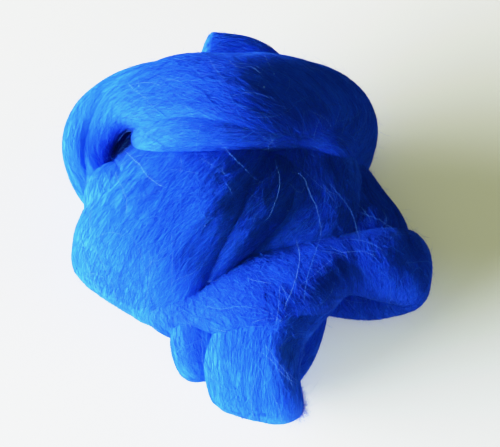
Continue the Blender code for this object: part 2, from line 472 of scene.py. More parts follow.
@dataclass(frozen=True)
class SkinGauge:
    """The grain of the skins' grids and of the relief on them, in metres."""

    ring_pitch: float = 1.3 * MM
    side_pitch: float = 1.25 * MM
    section_power: float = 2.3
    girth_share: float = 0.56
    outline_samples: int = 721
    rounded_end: float = 14.0 * MM
    blunt_end: float = 5.0 * MM
    end_sliver: float = 0.06
    pressed_flat: float = 1.5 * MM
    floor_clearance: float = 0.15 * MM
    path_samples: int = 2400
    mean_aspect: float = 2.2
    lump_size: float = 26.0 * MM
    lump_height: float = 0.9 * MM
    lock_width: float = 5.5 * MM
    lock_length: float = 70.0 * MM
    lock_height: float = 0.24 * MM
    groove_width: float = 2.6 * MM
    groove_length: float = 45.0 * MM
    groove_height: float = 0.07 * MM
    streak_width: float = 3.2 * MM
    streak_length: float = 38.0 * MM
    middle_tone: float = 0.5
    lock_tone: float = 0.12
    groove_tone: float = 0.1
    streak_tone: float = 0.14
    test_stride: int = 2
    test_reach: float = 0.75
    own_reach: float = 45.0 * MM
    underside_height: float = 1.5 * MM
    facing_down: float = -0.6
    covered_depth: float = 0.4 * MM


@dataclass
class Fold:
    """One fold or ply of the strand: an oval section carried along a path.

    A point of its surface is given by the distance along the path and the turn
    around the section, from 0 to 1.
    """

    name: str
    rows: Sequence[Row]
    seed: int
    lay: Lay = Lay.ALONG
    lean: float = 0.0
    lean_from: float = 0.0
    lean_to: float = 1.0
    lean_blend: float = 0.0
    is_torn: bool = False
    # A tone shift over the whole fold: painted light above 0, painted shade below 0.
    painted_shading: float = 0.0
    gauge: SkinGauge = field(default_factory=SkinGauge)

    def __post_init__(self) -> None:
        """Works out the sections, the grid of surface points and their normals."""
        self.rng = np.random.default_rng(self.seed)
        self._lay_out_sections()
        self._shape_surface()

    def _lay_out_sections(self) -> None:
        """Spaces the sections evenly along the smooth path through the table."""
        g = self.gauge
        column = dict(zip(COLUMNS, np.array(self.rows, dtype=float).T))
        azimuth, roll = np.radians(column["azimuth"]), np.radians(column["roll"])
        middle = np.stack([column["x"], column["y"], column["z"]], axis=1) * MM
        across = np.stack(
            [np.cos(azimuth) * np.cos(roll), np.sin(azimuth) * np.cos(roll), np.sin(roll)],
            axis=1,
        )
        halves = np.stack([column["half_width"], column["half_thickness"]], axis=1) * MM
        values = np.concatenate([middle, across, halves], axis=1)
        knots = length_along(middle)
        fine = smooth_through(knots, values, np.linspace(0.0, knots[-1], g.path_samples))
        travelled = length_along(fine[:, :3])
        self.length = float(travelled[-1])
        self.at = np.linspace(0.0, self.length, int(self.length / g.ring_pitch) + 1)
        rings = np.stack([np.interp(self.at, travelled, value) for value in fine.T], axis=1)
        self.middle = rings[:, :3]
        self.middle[:, 2] -= g.pressed_flat
        self.along = unit(np.gradient(self.middle, axis=0))
        across = rings[:, 3:6]
        drawn_off = (across * self.along).sum(axis=1, keepdims=True) * self.along
        self.across = unit(across - drawn_off)
        self.up = np.cross(self.along, self.across)
        self.bend = np.linalg.norm(np.gradient(self.along, axis=0), axis=1) / g.ring_pitch
        last_end = g.blunt_end if self.is_torn else g.rounded_end
        self.seam_side = 1.0 if self.up[np.argmax(self.middle[:, 2]), 2] < 0.0 else -1.0
        size = self._closing(self.at, g.rounded_end)
        size = size * self._closing(self.length - self.at, last_end)
        self.half_width = rings[:, 6] * size
        self.half_thickness = rings[:, 7] * size

    def _closing(self, distance: Array, length: float) -> Array:
        """A quarter circle from nearly nothing to full size over a length.

        Args:
            distance: how far each section is from the end.
            length: how far from the end the section is whole.

        Returns:
            The size of each section, from nearly 0 to 1.
        """
        share = np.clip(distance / length, 0.0, 1.0)
        return np.sqrt(np.clip(1.0 - (1.0 - share) ** 2, self.gauge.end_sliver**2, 1.0))

    def _shape_surface(self) -> None:
        """Fills the grid of points: the oval, raised along its normal by the relief.

        A patch of painted light and shade changes the tone by its own change times e to the minus
        square of the distance from its middle over its reach.
        """
        g = self.gauge
        widest = float(np.max(self.half_width + self.half_thickness))
        pairs = 2.0 * math.pi * g.girth_share * widest / g.side_pitch / 2.0
        self.sides = int(round(pairs)) * 2
        turn = np.arange(self.sides) / self.sides
        angle = self._angle_of(turn)
        power = g.section_power
        cosine, sine = np.cos(angle), np.sin(angle)
        oval = (np.abs(cosine) ** power + np.abs(sine) ** power) ** (-1.0 / power)
        wide = (self.half_width[:, None] * self.across)[:, None, :]
        thick = (self.half_thickness[:, None] * self.up)[:, None, :]
        flat = (cosine * oval)[None, :, None] * wide
        tall = (sine * oval)[None, :, None] * thick
        smooth = self.middle[:, None, :] + flat + tall
        self.girth = np.linalg.norm(smooth - np.roll(smooth, 1, axis=1), axis=2).sum(axis=1)
        self.mean_girth = float(np.median(self.girth))
        self.turn_grid, self.at_grid = np.meshgrid(turn, self.at)
        self.normal = self._normals(smooth)
        relief, self.tone = self._relief()
        self.points = smooth + relief[..., None] * self.normal
        self.points[..., 2] = np.maximum(self.points[..., 2], g.floor_clearance)
        self.normal = self._normals(self.points)
        # Painted light and shade: the patches raise the tone where light is painted and lower it
        # where shade is painted.
        for x, y, z, reach, change in PAINTED_LIGHT_AND_SHADE:
            away = np.linalg.norm(self.points - np.array([x, y, z]) * MM, axis=2) / (reach * MM)
            self.tone = self.tone + change * np.exp(-(away**2))

    def _angle_of(self, turn: Array) -> Array:
        """Spaces points evenly by length around an ellipse of the mean aspect.

        Args:
            turn: shares of the way round, from 0 to 1, starting at the seam.

        Returns:
            The ellipse's angle at each share.
        """
        start = 0.5 * math.pi * self.seam_side
        angle = np.linspace(start, start + 2.0 * math.pi, self.gauge.outline_samples)
        aspect = self.gauge.mean_aspect
        outline = np.stack([aspect * np.cos(angle), np.sin(angle)], axis=1)
        distance = length_along(outline)
        return np.interp(turn, distance / distance[-1], angle)

    @staticmethod
    def _normals(points: Array) -> Array:
        """Takes the outward normals of the grid as cross products of its steps.

        Args:
            points: the grid of points.

        Returns:
            The unit normals.
        """
        step_along = np.gradient(points, axis=0)
        step_round = np.roll(points, -1, axis=1) - np.roll(points, 1, axis=1)
        return unit(np.cross(step_round, step_along))

    def lay_places(self, at: Array, turn: Array) -> Tuple[Array, Array]:
        """Finds where surface points lie along and across the fibres.

        Fibres that lean cross the strand as they go: the place across them is
        the way round less the drift that the lean adds up along the fibre.

        Args:
            at: distances along the path.
            turn: turns around the section.

        Returns:
            The distance along the fibres, and the distance across them.
        """
        if self.lay is Lay.ALONG:
            return at, turn * self.mean_girth - self.drift(at)
        slope = math.tan(math.radians(self.lean))
        return turn * self.mean_girth, at - slope * turn * self.mean_girth

    def drift(self, at: Array) -> Array:
        """How far leaning fibres have moved round the strand at a distance.

        The lean grows as the smooth step 3t^2 - 2t^3 over the blend, so the drift
        is its integral, t^3 - t^4 / 2, and from there on rises evenly.

        Args:
            at: distances along the path.

        Returns:
            The drift in metres, nil before the lean begins.
        """
        start, stop = self.lean_from * self.length, self.lean_to * self.length
        blend = max(self.lean_blend, 1e-6)
        share = np.clip((at - start) / blend, 0.0, 1.0)
        eased = blend * (share**3 - 0.5 * share**4)
        eased = eased + np.clip(at - start - blend, 0.0, stop - start)
        return math.tan(math.radians(self.lean)) * eased

    def _relief(self) -> Tuple[Array, Array]:
        """Works out the lumps, the locks' ridges, the grooves and the tone.

        Returns:
            The height of each grid point over the smooth oval, and its tone.
        """
        g = self.gauge
        down, over = self.lay_places(self.at_grid, self.turn_grid)
        along_cells = self._cells(g.lump_size, g.lump_size)
        lumps = lattice_noise(
            self.rng,
            self.at_grid / self.length * along_cells[0],
            self.turn_grid * along_cells[1],
            along_cells,
        )
        locks = self._combed_noise(down, over, g.lock_length, g.lock_width)
        grooves = self._combed_noise(down, over, g.groove_length, g.groove_width)
        streaks = self._combed_noise(down, over, g.streak_length, g.streak_width)
        relief = g.lump_height * lumps + g.lock_height * locks + g.groove_height * grooves
        # The fold's painted light and shade shift its whole tone.
        tone = g.middle_tone + self.painted_shading + g.lock_tone * locks + g.groove_tone * grooves
        tone = tone + g.streak_tone * streaks
        return relief, tone

    def _cells(self, long_size: float, round_size: float) -> Tuple[int, int]:
        """Counts whole cells along the path and around the section.

        Args:
            long_size: wanted size along the path.
            round_size: wanted size around the section.

        Returns:
            The two counts.
        """
        return (
            max(2, int(round(self.length / long_size))),
            max(2, int(round(self.mean_girth / round_size))),
        )

    def _combed_noise(self, down: Array, over: Array, length: float, width: float) -> Array:
        """Noise drawn out along the fibres.

        Args:
            down: distances along the fibres.
            over: distances across the fibres.
            length: size of a feature along the fibres.
            width: size of a feature across them.

        Returns:
            Values from -1 to 1.
        """
        if self.lay is Lay.ALONG:
            span, reach = self.length, self.mean_girth
        else:
            span, reach = self.mean_girth, self.length
        cells = (max(2, int(round(span / length))), max(2, int(round(reach / width))))
        return lattice_noise(self.rng, down / span * cells[0], over / reach * cells[1], cells)

    def surface(self, at: Array, turn: Array) -> Tuple[Array, Array]:
        """Reads points and normals between the grid's points, by bilinear means.

        Args:
            at: distances along the path.
            turn: turns around the section.

        Returns:
            The points and the unit normals.
        """
        u = np.clip(at / self.length, 0.0, 1.0) * (len(self.at) - 1)
        v = (turn % 1.0) * self.sides
        i = np.minimum(np.floor(u).astype(int), len(self.at) - 2)
        j = np.floor(v).astype(int) % self.sides
        k = (j + 1) % self.sides
        fu, fv = (u - i)[..., None], (v - np.floor(v))[..., None]
        found = []
        for grid in (self.points, self.normal):
            near = grid[i, j] * (1.0 - fv) + grid[i, k] * fv
            far = grid[i + 1, j] * (1.0 - fv) + grid[i + 1, k] * fv
            found.append(near * (1.0 - fu) + far * fu)
        return found[0], unit(found[1])

    def covers(
        self, points: Array, skip_near: Optional[Array] = None, depth: float = 0.0
    ) -> Array:
        """Tells which points lie inside the fold.

        A point is inside where it is near the plane of a tested section, closer
        than a share of the step between them, and within the section's oval.

        Args:
            points: the points, one a row.
            skip_near: for points of this same fold, their distance along the
                path, so that the stretch that they lie on doesn't count.
            depth: how far inside the oval a point has to be.

        Returns:
            True for each point inside.
        """
        g = self.gauge
        inside = np.zeros(len(points), dtype=bool)
        for i in range(0, len(self.at), g.test_stride):
            wide, thick = self.half_width[i] - depth, self.half_thickness[i] - depth
            if wide <= 0.0 or thick <= 0.0:
                continue
            offset = points - self.middle[i]
            close = np.abs(offset @ self.along[i]) < g.ring_pitch * g.test_stride * g.test_reach
            if skip_near is not None:
                close &= np.abs(skip_near - self.at[i]) > g.own_reach
            if not close.any():
                continue
            near = offset[close]
            reach = (
                np.abs(near @ self.across[i] / wide) ** g.section_power
                + np.abs(near @ self.up[i] / thick) ** g.section_power
            )
            inside[np.flatnonzero(close)[reach < 1.0]] = True
        return inside

    def skin(self) -> bpy.types.Object:
        """Builds the fold's closed skin with its tone and its lay map.

        Returns:
            The skin's object.
        """
        quads, caps = closed_tube(len(self.at), self.sides)
        poles = np.stack([self.points[0].mean(axis=0), self.points[-1].mean(axis=0)])
        points = np.concatenate([self.points.reshape(-1, 3), poles])
        mesh = mesh_of(self.name, points, quads, caps)
        pole_tones = [self.gauge.middle_tone] * 2
        # The tone holds random tone and the painted light and shade.
        add_tone(mesh, np.concatenate([self.tone.ravel(), pole_tones]))
        down, over = self.lay_places(self.at_grid, self.turn_grid)
        lay = np.stack([down.ravel(), over.ravel()], axis=1)
        add_lay_map(mesh, np.concatenate([lay, lay[[0, -1]]]))
        return linked(self.name, mesh)

    def tone_at(self, at: Array, turn: Array) -> Array:
        """Reads the tone at the grid point nearest to each place.

        Args:
            at: distances along the path.
            turn: turns around the section.

        Returns:
            The tones.
        """
        last = len(self.at) - 1
        i = np.clip(np.round(at / self.length * last).astype(int), 0, last)
        j = np.round((turn % 1.0) * self.sides).astype(int) % self.sides
        return self.tone[i, j]

    def open_area(self, everything: Sequence["Fold"], step: int) -> Tuple[Array, Array, Array]:
        """Finds the patches that lie in no other fold and aren't underneath.

        Args:
            everything: all folds.
            step: how many grid steps a patch spans.

        Returns:
            The patches' distances, turns and areas.
        """
        points = self.points[::step, ::step].reshape(-1, 3)
        normals = self.normal[::step, ::step].reshape(-1, 3)
        at = self.at_grid[::step, ::step].ravel()
        turn = self.turn_grid[::step, ::step].ravel()
        steps_along = np.linalg.norm(np.gradient(self.points, axis=0), axis=2)
        steps_round = np.linalg.norm(self.points - np.roll(self.points, 1, axis=1), axis=2)
        area = (steps_along * steps_round)[::step, ::step].ravel()
        g = self.gauge
        hidden = (points[:, 2] < g.underside_height) | (normals[:, 2] < g.facing_down)
        for fold in everything:
            own = at if fold is self else None
            hidden |= fold.covers(points, own, g.covered_depth)
        return at[~hidden], turn[~hidden], area[~hidden]


@dataclass(frozen=True)
class FibreGauge:
    """The sizes of a coat's fibres, in metres."""

    points: int = 5
    radius: float = 0.075 * MM
    flatness: float = 0.45
    length: float = 17.0 * MM
    spread: float = 0.6
    wander: float = 0.8 * MM
    slant: float = 0.2
    crossing_share: float = 0.5
    crossing_slant: float = 0.9
    crossing_length: float = 0.55
    around_length: float = 0.55
    least_bend: float = 1.0
    bow: float = 4.0
    bow_middle: float = 0.083
    wave_height: float = 0.35
    wave_turns: float = 1.3
    radius_range: Tuple[float, float] = (0.5, 1.6)
    lift_range: Tuple[float, float] = (0.1, 1.0)
    raised_range: Tuple[float, float] = (0.3, 1.0)
    tone_spread: float = 0.28
    lift: float = 0.35 * MM
    raised_share: float = 0.04
    raised_by: float = 1.2 * MM
    lowest: float = 0.8 * MM
    seeds_step: int = 3


def tube_coat(
    name: str,
    paths: Array,
    sideways: Array,
    radius: Array,
    tone: Array,
    flatness: float = 1.0,
) -> bpy.types.Object:
    """Makes many tapered three-sided fibres at once.

    A corner of a ring stands at its path point plus the radius times
    (cos a * side + sin a * other side); the radius is full in the middle and
    falls to a point at both ends as the square root of 1 - (2t - 1)^4.

    Args:
        name: the mesh's name.
        paths: the fibres' points, fibre by point by xyz.
        sideways: a direction for each fibre's point that isn't along it.
        radius: each fibre's radius.
        tone: each fibre's tone.
        flatness: how thick a fibre is towards its side direction, to its width.

    Returns:
        The object that holds them.
    """
    count, points = paths.shape[:2]
    rings, sides = points - 2, 3
    tangent = unit(np.gradient(paths, axis=1))
    side = unit(sideways - (sideways * tangent).sum(axis=2, keepdims=True) * tangent)
    other = np.cross(tangent, side)
    share = np.linspace(0.0, 1.0, points)[1:-1]
    taper = np.sqrt(1.0 - (2.0 * share - 1.0) ** 4)
    angle = np.arange(sides) * 2.0 * math.pi / sides
    reach = (radius[:, None] * taper[None, :])[:, :, None, None]
    around = (
        flatness * np.cos(angle)[None, None, :, None] * side[:, 1:-1, None, :]
        + np.sin(angle)[None, None, :, None] * other[:, 1:-1, None, :]
    )
    tube = (paths[:, 1:-1, None, :] + reach * around).reshape(count, rings * sides, 3)
    whole = np.concatenate([tube, paths[:, :1], paths[:, -1:]], axis=1)
    own = whole.shape[1]
    quads, tips = (copies_of(faces, count, own) for faces in closed_tube(rings, sides))
    mesh = mesh_of(name, whole.reshape(-1, 3), quads, tips)
    add_tone(mesh, np.repeat(tone, own))
    return linked(name, mesh)


@dataclass
class FibreCoat:
    """The combed fibres that lie on a group of folds."""

    name: str
    folds: Sequence[Fold]
    count: int
    seed: int
    gauge: FibreGauge = field(default_factory=FibreGauge)

    def build(self, everything: Sequence[Fold]) -> bpy.types.Object:
        """Lays the fibres on the parts of the folds that show.

        Args:
            everything: all folds, which may cover these.

        Returns:
            The coat's object.
        """
        rng = np.random.default_rng(self.seed)
        areas = [fold.open_area(everything, self.gauge.seeds_step) for fold in self.folds]
        total = sum(float(area.sum()) for _, _, area in areas)
        batches = [
            self._lay_on(fold, place, int(self.count * float(place[2].sum()) / total), rng)
            for fold, place in zip(self.folds, areas)
            if float(place[2].sum()) > 0.0
        ]
        paths, normals, radius, tone = (np.concatenate(parts) for parts in zip(*batches))
        paths[..., 2] = np.maximum(paths[..., 2], self.gauge.lowest)
        return tube_coat(self.name, paths, normals, radius, tone, self.gauge.flatness)

    def _lay_on(
        self,
        fold: Fold,
        place: Tuple[Array, Array, Array],
        count: int,
        rng: np.random.Generator,
    ) -> Tuple[Array, Array, Array, Array]:
        """Lays fibres on one fold, each following the lay with a slow wander.

        Where the fold bends, a fibre is no longer than the chords whose height,
        length squared over eight radii, stays within the lift.

        Args:
            fold: the fold.
            place: the distances, turns and areas of its open patches.
            count: how many fibres.
            rng: the source of the random numbers.

        Returns:
            The fibres' paths, their normals, radii and tones.
        """
        g = self.gauge
        at, turn, area = place
        pick = rng.choice(len(at), size=count, p=area / area.sum())
        steps = g.seeds_step
        at = at[pick] + rng.uniform(-0.5, 0.5, count) * fold.gauge.ring_pitch * steps
        turn = turn[pick] + rng.uniform(-0.5, 0.5, count) * steps / fold.sides
        share = np.linspace(-0.5, 0.5, g.points)[None, :]
        length = g.length * rng.uniform(1.0 - g.spread, 1.0 + g.spread, count)[:, None]
        if fold.lay is Lay.AROUND:
            length = length * g.around_length
        else:
            bend = np.interp(at, fold.at, fold.bend)[:, None]
            chord = np.sqrt(8.0 * g.lift / np.maximum(bend, g.least_bend))
            length = np.minimum(length, (g.points - 1) * chord)
        crossing = (rng.uniform(0.0, 1.0, count) < g.crossing_share)[:, None]
        slant = rng.normal(0.0, 1.0, (count, 1))
        slant = slant * np.where(crossing, g.crossing_slant, g.slant)
        length = length * np.where(crossing, g.crossing_length, 1.0)
        bend = rng.normal(0.0, 1.0, count)[:, None] * (share**2 - g.bow_middle) * g.bow
        wave = rng.normal(0.0, g.wave_height, count)[:, None] * np.sin(
            2.0 * math.pi * (share * g.wave_turns + rng.uniform(0, 1, count)[:, None])
        )
        off = slant * share * length + g.wander * (bend + wave)
        down = share * length
        girth = np.interp(at, fold.at, fold.girth)[:, None]
        if fold.lay is Lay.ALONG:
            at_all = at[:, None] + down
            over = np.clip(at_all, 0.0, fold.length) - at_all
            at_all = at_all + over[:, :1] + over[:, -1:]
            drifted = fold.drift(at_all) - fold.drift(at)[:, None] + off
            turn_all = turn[:, None] + drifted / girth
        else:
            lean = math.tan(math.radians(fold.lean))
            turn_all = turn[:, None] + down / girth
            at_all = np.clip(at[:, None] + lean * down + off, 0.0, fold.length)
        points, normals = fold.surface(at_all, turn_all)
        lift = g.lift * rng.uniform(*g.lift_range, count)[:, None]
        raised = (rng.uniform(0, 1, count) < g.raised_share)[:, None]
        rise = raised * g.raised_by * rng.uniform(*g.raised_range, count)[:, None]
        lift = lift + rise * (share + 0.5) ** 2
        paths = points + lift[..., None] * normals
        radius = g.radius * rng.uniform(*g.radius_range, count)
        # A fibre takes the tone of the skin under it, painted light and shade included.
        tone = fold.tone_at(at, turn) + rng.normal(0.0, g.tone_spread, count)
        return paths, normals, radius, tone


@dataclass(frozen=True)
class PictureView:
    """The camera's place, and rays through the points of a 500 by 447 frame."""

    width: int = 500
    height: int = 447
    elevation: float = 60.0
    lens: float = 70.0
    sensor: float = 36.0
    distance: float = 0.486
    target: Tuple[float, float, float] = (0.0, -0.014, 0.024)
    clip: Tuple[float, float] = (0.01, 20.0)

    def _axes(self) -> Tuple[Array, Array, Array]:
        """Finds the camera's own directions.

        Returns:
            The directions to its right, upward and forward.
        """
        tilt = math.radians(self.elevation)
        forward = np.array([0.0, math.cos(tilt), -math.sin(tilt)])
        upward = np.array([0.0, math.sin(tilt), math.cos(tilt)])
        return np.array([1.0, 0.0, 0.0]), upward, forward

    def place(self) -> Array:
        """Where the camera stands."""
        return np.array(self.target) - self.distance * self._axes()[2]

    def rays(self, across: Array, down: Array) -> Array:
        """Finds the directions through points of the frame.

        Args:
            across: the points' places from the left edge, in pixels.
            down: the points' places from the top edge, in pixels.

        Returns:
            A unit direction for each point.
        """
        right, upward, forward = self._axes()
        scale = self.sensor / self.lens / self.width
        x = (across - self.width / 2.0) * scale
        y = (self.height / 2.0 - down) * scale
        return unit(forward + x[..., None] * right + y[..., None] * upward)

    def build(self) -> bpy.types.Object:
        """Makes the camera.

        Returns:
            The camera's object.
        """
        data = bpy.data.cameras.new("camera")
        data.lens, data.sensor_width = self.lens, self.sensor
        data.clip_start, data.clip_end = self.clip
        camera = linked("camera", data)
        camera.location = self.place()
        camera.rotation_euler = (math.radians(90.0 - self.elevation), 0.0, 0.0)
        bpy.context.scene.camera = camera
        return camera


@dataclass(frozen=True)
class LooseGauge:
    """The sizes of the loose fibres and flecks, in metres."""

    points: int = 26
    radius: float = 0.048 * MM
    lift: float = 0.5 * MM
    arch: float = 1.1 * MM
    scattered: int = 240
    scattered_length: float = 17.0 * MM
    scattered_radius: float = 0.032 * MM
    scattered_bend: float = 0.8
    scattered_range: Tuple[float, float] = (0.5, 1.6)
    seeds_step: int = 4
    sway: float = 0.35
    levelled: int = 6
    arch_range: Tuple[float, float] = (0.1, 1.0)
    radius_range: Tuple[float, float] = (0.7, 1.15)
    tone_range: Tuple[float, float] = (0.55, 1.0)
    lowest: float = 0.4 * MM
    fleck_radius: float = 0.42 * MM
    fleck_rings: int = 5
    fleck_sides: int = 8
    fleck_cap: float = 0.3
    fleck_range: Tuple[float, float] = (0.6, 1.3)
    fleck_tones: Tuple[float, float] = (0.6, 1.0)


@dataclass
class LooseFibres:
    """Fibres that have come away and lie across the folds, and flecks of chaff."""

    view: PictureView
    skins: BVHTree
    seed: int = 51
    gauge: LooseGauge = field(default_factory=LooseGauge)

    def build(self, folds: Sequence[Fold]) -> bpy.types.Object:
        """Lays fibres along the table's tracks, and scatters finer ones.

        Args:
            folds: all folds.

        Returns:
            The object that holds them.
        """
        rng = np.random.default_rng(self.seed)
        g = self.gauge
        draped = [self._draped(np.array(track, dtype=float), rng) for track in LOOSE]
        paths = np.stack([path for path in draped if path is not None])
        radius = g.radius * rng.uniform(*g.radius_range, len(paths))
        scattered = self._scattered(folds, rng)
        radius = np.concatenate([radius, np.full(len(scattered), g.scattered_radius)])
        paths = np.concatenate([paths, scattered])
        paths[..., 2] = np.maximum(paths[..., 2], g.lowest)
        upward = np.broadcast_to(np.array(NEARLY_UP), paths.shape)
        tone = rng.uniform(*g.tone_range, len(paths))
        LOG.info("loose fibres: %d", len(paths))
        return tube_coat("loose_fibres", paths, upward, radius, tone)

    def _draped(self, track: Array, rng: np.random.Generator) -> Optional[Array]:
        """Drops a track onto the folds and bridges the creases between them.

        The track is a smooth curve through its points.  Rays through it find the
        distance to the folds, which is levelled with its neighbours' nearest
        distances, and the fibre arches over it by a half sine.

        Args:
            track: places across and down the frame.
            rng: the source of the wobble.

        Returns:
            The fibre's points, or None where the track misses the folds.
        """
        g = self.gauge
        knots = length_along(track)
        fine = smooth_through(knots, track, np.linspace(0.0, knots[-1], g.points))
        share = np.linspace(0.0, 1.0, g.points)
        sway = np.cumsum(rng.normal(0.0, 1.0, (g.points, 2)), axis=0)
        sway -= share[:, None] * sway[-1]
        fine = fine + g.sway * sway
        origin, rays = self.view.place(), self.view.rays(fine[:, 0], fine[:, 1])
        found = [self.skins.ray_cast(Vector(origin), Vector(ray))[3] for ray in rays]
        distance = np.array([np.nan if reach is None else reach for reach in found])
        if np.isnan(distance).all():
            return None
        distance = np.where(np.isnan(distance), np.nanmin(distance), distance)
        for _ in range(g.levelled):
            near = np.minimum(np.roll(distance, 1), np.roll(distance, -1))
            near[0], near[-1] = distance[1], distance[-2]
            distance = np.minimum(distance, 0.5 * (near + distance))
        raised = g.lift + g.arch * np.sin(math.pi * share) * rng.uniform(*g.arch_range)
        return origin + (distance - raised)[:, None] * rays

    def _scattered(self, folds: Sequence[Fold], rng: np.random.Generator) -> Array:
        """Scatters finer fibres that cross the lay at wide angles.

        Args:
            folds: all folds.
            rng: the source of the random numbers.

        Returns:
            The fibres' points.
        """
        g = self.gauge
        places = [fold.open_area(folds, g.seeds_step) for fold in folds]
        total = sum(float(area.sum()) for _, _, area in places)
        share = np.linspace(-0.5, 0.5, g.points)[None, :]
        found = []
        for fold, (at, turn, area) in zip(folds, places):
            count = int(round(g.scattered * float(area.sum()) / total))
            if count == 0:
                continue
            pick = rng.choice(len(at), size=count, p=area / area.sum())
            heading = rng.uniform(0.0, math.pi, count)[:, None]
            bend = rng.normal(0.0, g.scattered_bend, count)[:, None]
            way = heading + bend * share
            length = g.scattered_length * rng.uniform(*g.scattered_range, count)[:, None]
            down = np.cumsum(np.cos(way), axis=1) * length / g.points
            over = np.cumsum(np.sin(way), axis=1) * length / g.points
            girth = np.interp(at[pick], fold.at, fold.girth)[:, None]
            at_all = np.clip(at[pick][:, None] + down, 0.0, fold.length)
            points, normals = fold.surface(at_all, turn[pick][:, None] + over / girth)
            arch = g.arch * np.cos(math.pi * share) * rng.uniform(0.0, 1.0, count)[:, None]
            lift = g.lift + arch
            found.append(points + lift[..., None] * normals)
        return np.concatenate(found)

    def flecks(self) -> bpy.types.Object:
        """Sets the flecks, small uneven balls worked out on a grid of two angles.

        Returns:
            The object that holds them.
        """
        g = self.gauge
        rng = np.random.default_rng(self.seed + 1)
        origin = self.view.place()
        spots = np.array(FLECKS, dtype=float)
        centres = []
        for ray in self.view.rays(spots[:, 0], spots[:, 1]):
            reach = self.skins.ray_cast(Vector(origin), Vector(ray))[3]
            if reach is not None:
                centres.append(origin + (reach - 0.5 * g.fleck_radius) * ray)
        wide, tall = np.meshgrid(
            np.arange(g.fleck_sides) * 2.0 * math.pi / g.fleck_sides,
            np.linspace(g.fleck_cap, math.pi - g.fleck_cap, g.fleck_rings),
        )
        ball = np.stack(
            [np.sin(tall) * np.cos(wide), np.sin(tall) * np.sin(wide), np.cos(tall)], axis=2
        )
        whole = np.concatenate([ball.reshape(-1, 3), [[0.0, 0.0, 1.0], [0.0, 0.0, -1.0]]])
        sizes = g.fleck_radius * rng.uniform(*g.fleck_range, (len(centres), 1, 3))
        points = np.array(centres)[:, None, :] + whole[None] * sizes
        own = len(whole)
        quads, caps = (
            copies_of(faces[:, ::-1], len(centres), own)
            for faces in closed_tube(g.fleck_rings, g.fleck_sides)
        )
        mesh = mesh_of("flecks", points.reshape(-1, 3), quads, caps)
        add_tone(mesh, rng.uniform(*g.fleck_tones, len(centres)).repeat(own))
        return linked("flecks", mesh)


@dataclass
class Fuzz:
    """The short fibres that stand off the surface and soften its outline."""

    seed: int = 61
    count: int = 4300
    points: int = 5
    radius: float = 0.034 * MM
    length: float = 5.5 * MM
    height: float = 1.25 * MM
    highest: float = 3.5 * MM
    corner: Tuple[float, float, float] = (0.029, -0.108, 0.014)
    corner_reach: float = 7.0 * MM
    corner_share: float = 110.0
    corner_height: float = 1.6
    lowest: float = 0.5 * MM
    seeds_step: int = 3
    foot_spread: float = 2.0 * MM
    turn_spread: float = 1.5
    look_ahead: float = 1.5 * MM
    heading_spread: float = 0.7
    length_shape: float = 3.0
    height_shape: float = 1.6
    curl: float = 0.3
    rise_power: float = 1.4
    radius_range: Tuple[float, float] = (0.6, 1.2)
    tone_range: Tuple[float, float] = (0.4, 0.9)

    def build(self, folds: Sequence[Fold]) -> bpy.types.Object:
        """Stands the fuzz on all open surfaces, thickest at one frayed corner.

        A fibre starts on the surface, heads along the lay turned by a random
        angle, and rises from it as a power of the share of its length.

        Args:
            folds: all folds.

        Returns:
            The fuzz's object.
        """
        rng = np.random.default_rng(self.seed)
        places = [fold.open_area(folds, self.seeds_step) for fold in folds]
        weights = []
        for fold, (at, turn, area) in zip(folds, places):
            away = np.linalg.norm(fold.surface(at, turn)[0] - np.array(self.corner), axis=1)
            frayed = np.exp(-((away / self.corner_reach) ** 2))
            weights.append(area * (1.0 + self.corner_share * frayed))
        total = sum(float(weight.sum()) for weight in weights)
        batches = [
            self._stand(fold, place, weight, int(self.count * float(weight.sum()) / total), rng)
            for fold, place, weight in zip(folds, places, weights)
            if float(weight.sum()) > 0.0
        ]
        paths = np.concatenate(batches)
        paths[..., 2] = np.maximum(paths[..., 2], self.lowest)
        upward = np.broadcast_to(np.array(NEARLY_UP), paths.shape)
        radius = self.radius * rng.uniform(*self.radius_range, len(paths))
        tone = rng.uniform(*self.tone_range, len(paths))
        return tube_coat("fuzz", paths, upward, radius, tone)

    def _stand(
        self,
        fold: Fold,
        place: Tuple[Array, Array, Array],
        weight: Array,
        count: int,
        rng: np.random.Generator,
    ) -> Array:
        """Stands fuzz on one fold.

        Args:
            fold: the fold.
            place: the distances, turns and areas of its open patches.
            weight: how much fuzz each patch draws.
            count: how many fibres.
            rng: the source of the random numbers.

        Returns:
            The fibres' points.
        """
        pick = rng.choice(len(place[0]), size=count, p=weight / weight.sum())
        moved = rng.uniform(-self.foot_spread, self.foot_spread, count)
        at = np.clip(place[0][pick] + moved, 0.0, fold.length)
        turned = rng.uniform(-self.turn_spread, self.turn_spread, count)
        turn = place[1][pick] + turned / fold.sides
        foot, normal = fold.surface(at, turn)
        ahead, _ = fold.surface(np.clip(at + self.look_ahead, 0.0, fold.length), turn)
        back, _ = fold.surface(np.clip(at - self.look_ahead, 0.0, fold.length), turn)
        down = unit(ahead - back)
        if fold.lay is Lay.AROUND:
            down = np.cross(normal, down)
        over = np.cross(normal, down)
        heading = rng.normal(0.0, self.heading_spread, count)
        heading = heading + math.pi * rng.integers(0, 2, count)
        way = np.cos(heading)[:, None] * down + np.sin(heading)[:, None] * over
        share = np.linspace(0.0, 1.0, self.points)[None, :, None]
        length = self.length * rng.gamma(self.length_shape, 1.0 / self.length_shape, count)
        length = length[:, None, None]
        height = self.height * rng.gamma(self.height_shape, 1.0 / self.height_shape, count)
        height = np.minimum(height, self.highest)
        away = np.linalg.norm(foot - np.array(self.corner), axis=1) / self.corner_reach
        height = height * (1.0 + self.corner_height * np.exp(-(away**2)))
        side = np.cross(normal, way)[:, None]
        curl = rng.normal(0.0, self.curl, (count, 1, 1)) * length * share**2
        rise = height[:, None, None] * share**self.rise_power
        ahead_by = way[:, None] * length * share
        return foot[:, None] + ahead_by + side * curl + normal[:, None] * rise


